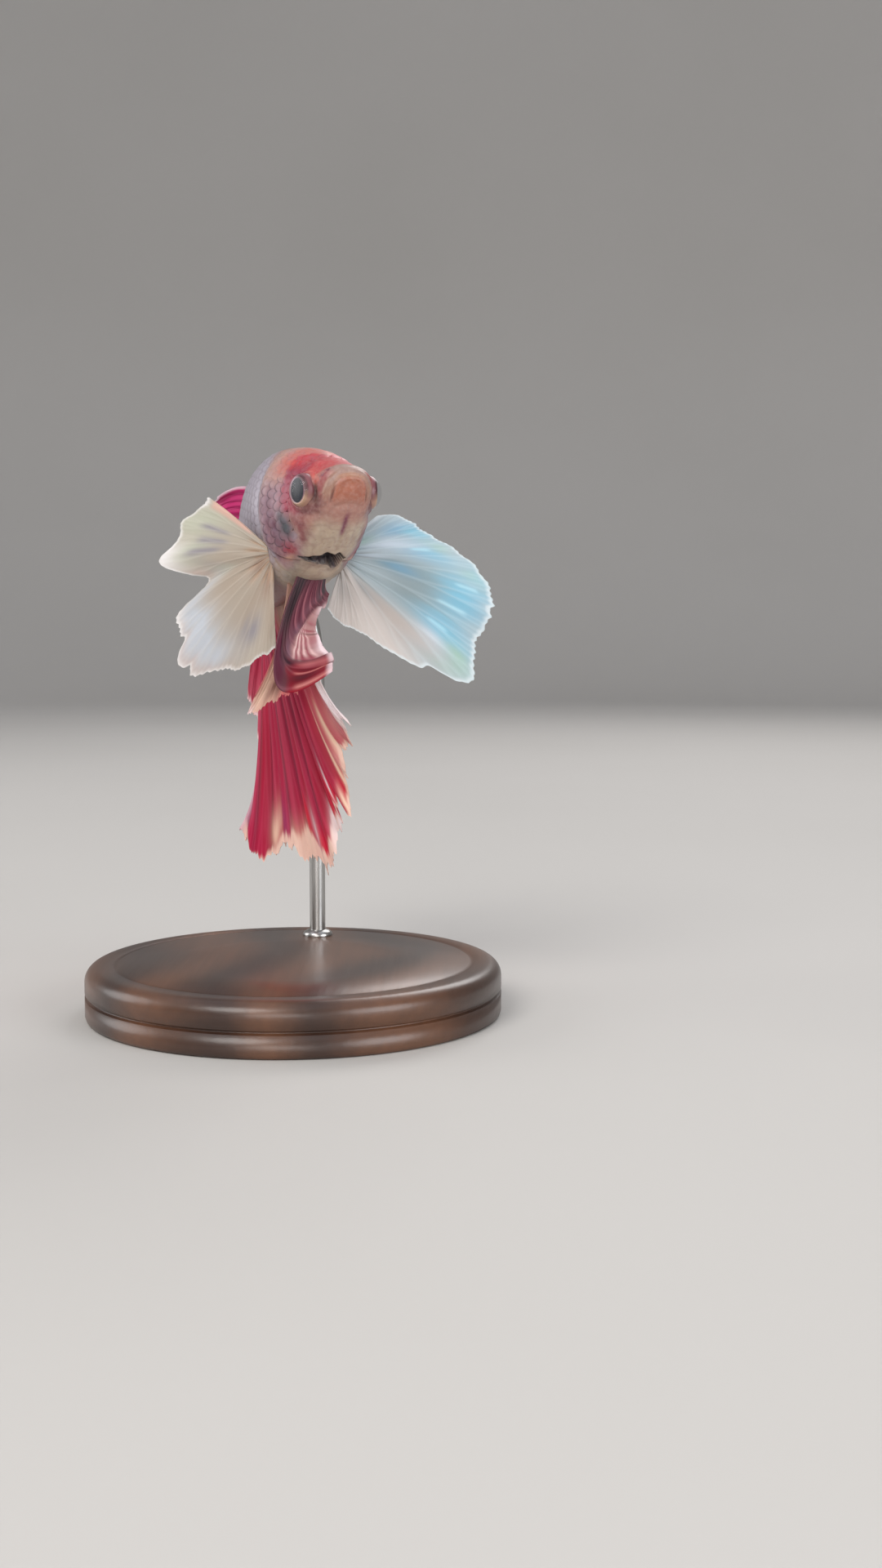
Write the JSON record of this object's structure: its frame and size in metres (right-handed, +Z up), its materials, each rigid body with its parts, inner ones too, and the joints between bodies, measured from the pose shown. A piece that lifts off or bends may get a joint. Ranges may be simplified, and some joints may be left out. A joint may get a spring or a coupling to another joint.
{
  "type": "betta fish display model",
  "caption": "Life-size still model of a big-eared half-moon male betta fish, fins spread and tail hanging, held over a round base by one short rod",
  "frame": {"origin": "centre of the stand's underside, at floor level", "axes": "+Z up; the head faces -Y and is turned 25 degrees toward +X"},
  "size_m": [0.048, 0.065, 0.0647],
  "materials": {
    "skin": "satin",
    "pale_fin": "satin",
    "red_fin": "satin",
    "eye": "glossy",
    "stand_wood": "satin",
    "stand_metal": "satin"
  },
  "bodies": {
    "root": {"head": "skin", "lower_jaw": "skin", "gill_cover_right": "skin", "gill_cover_left": "skin", "eye_right": "eye", "eye_left": "eye", "trunk": "skin", "rear_body": "skin", "tail_stem": "skin", "pectoral_fin_right": "pale_fin", "pectoral_fin_left": "pale_fin", "ventral_fin_right": "red_fin", "ventral_fin_left": "red_fin", "dorsal_fin": "red_fin", "anal_fin": "red_fin", "caudal_fin": "red_fin", "stand_base": "stand_wood", "stand_rod": "stand_metal"}
  },
  "joints": []
}
